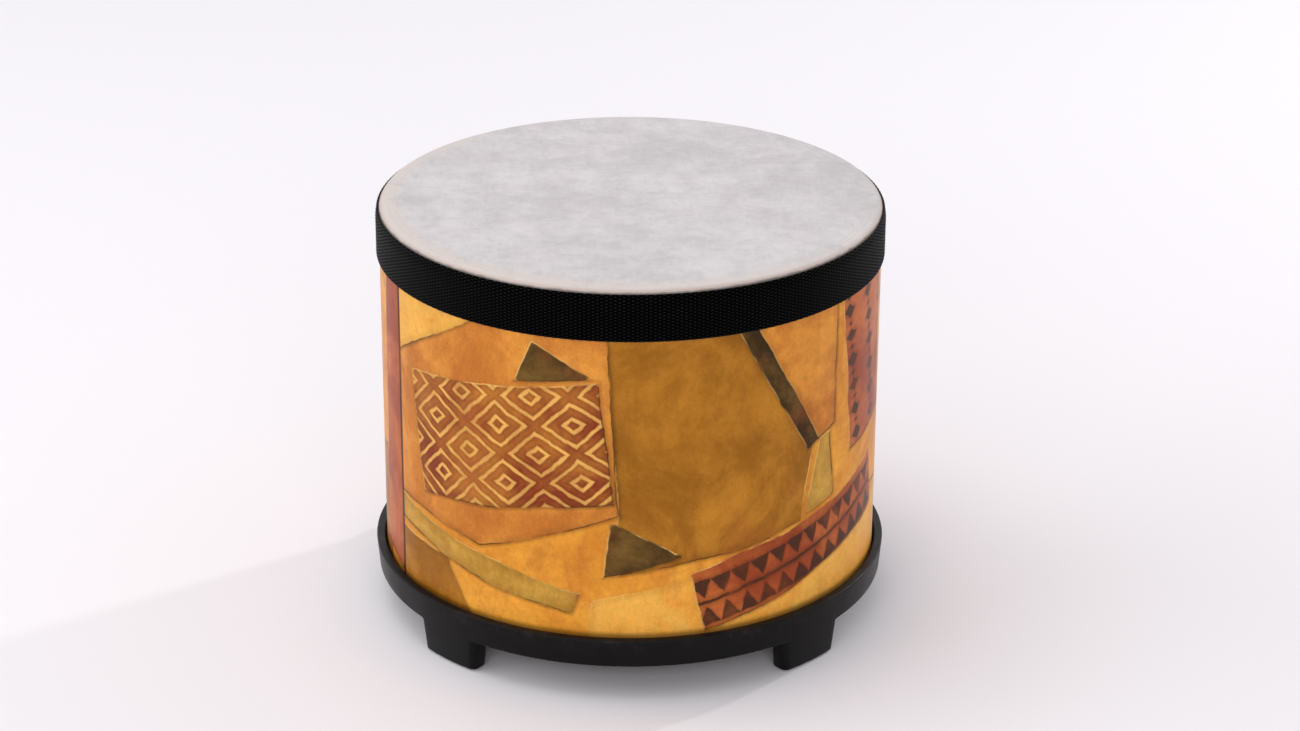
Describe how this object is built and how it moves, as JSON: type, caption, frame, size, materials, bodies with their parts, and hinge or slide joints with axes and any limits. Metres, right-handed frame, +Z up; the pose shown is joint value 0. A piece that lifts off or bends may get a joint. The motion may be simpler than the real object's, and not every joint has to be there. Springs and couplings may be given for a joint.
{
  "type": "floor drum",
  "caption": "Short pre-tuned floor drum: cylindrical fibre shell with a printed wrap, film head, black woven rim band and a black moulded foot ring that lifts the open bottom off the floor.",
  "frame": {"origin": "centre of the base, on the plane that the foot pads stand on", "axes": "+Z up along the drum's axis, -Y towards the viewer of the picture, two of the feet at the front"},
  "size_m": [0.2646, 0.2646, 0.2158],
  "materials": {
    "fibre": "raw resin-bonded fibre, matt brown",
    "printed_wrap": "satin printed laminate in gold, rust and umber",
    "film": "mottled grey-white suede-like film",
    "woven_tape": "black ribbed webbing",
    "moulded_base": "black satin moulded plastic",
    "screw_steel": "zinc-plated",
    "pad_rubber": "matt black"
  },
  "bodies": {
    "root": {"drum_shell": "fibre", "shell_wrap": "printed_wrap", "drumhead": "film", "rim_band": "woven_tape", "base_ring": "moulded_base", "base_screw_1": "screw_steel", "base_screw_2": "screw_steel", "base_screw_3": "screw_steel", "base_screw_4": "screw_steel", "foot_pad_1": "pad_rubber", "foot_pad_2": "pad_rubber", "foot_pad_3": "pad_rubber", "foot_pad_4": "pad_rubber"}
  },
  "joints": []
}
